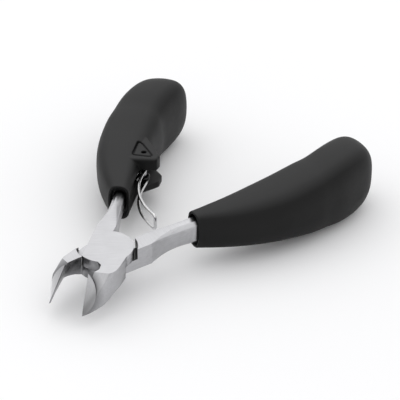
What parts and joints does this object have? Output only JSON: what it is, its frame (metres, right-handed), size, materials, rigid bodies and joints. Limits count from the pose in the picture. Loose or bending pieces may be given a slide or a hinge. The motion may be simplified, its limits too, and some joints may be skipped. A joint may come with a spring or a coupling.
{
  "type": "nail clipper",
  "caption": "Plier-style toenail clipper: curved steel jaws on a lap joint, two cushioned grips held open by a wire spring.",
  "frame": {"origin": "on the pivot axis, on the flat top face of the lap joint", "axes": "+Z out of the lap joint's top face along the pivot axis, +Y from the pivot towards the grips, midway between the two open levers, +X to the right-hand grip's side"},
  "size_m": [0.0948, 0.1187, 0.0258],
  "materials": {
    "satin_steel": "satin ground stainless steel",
    "screw_steel": "satin stainless steel",
    "grip_rubber": "matte soft-touch black",
    "pin_steel": "plain steel",
    "spring_wire": "bright spring wire"
  },
  "bodies": {
    "lower": {"lower_lever": "satin_steel", "right_grip": "grip_rubber"},
    "upper": {"upper_lever": "satin_steel", "left_grip": "grip_rubber", "pivot_screw": "screw_steel", "spring_pin": "pin_steel"},
    "spring": {"opening_spring": "spring_wire"}
  },
  "joints": [
    {"name": "jaw_hinge", "type": "hinge", "parent": "lower", "child": "upper", "pos_m": [0, 0, 0], "axis": [0, 0, -1], "range_deg": [0, 32], "stiffness_Nm_per_rad": 0.6},
    {"name": "spring_swing", "type": "hinge", "parent": "upper", "child": "spring", "pos_m": [-0.01883, 0.04853, -0.0037], "axis": [0, 0, -1], "range_deg": [0, 14], "deforming": ["opening_spring"]}
  ],
  "couplings": [
    {"joint": "spring_swing", "follows": "jaw_hinge", "ratio": 0.43}
  ]
}
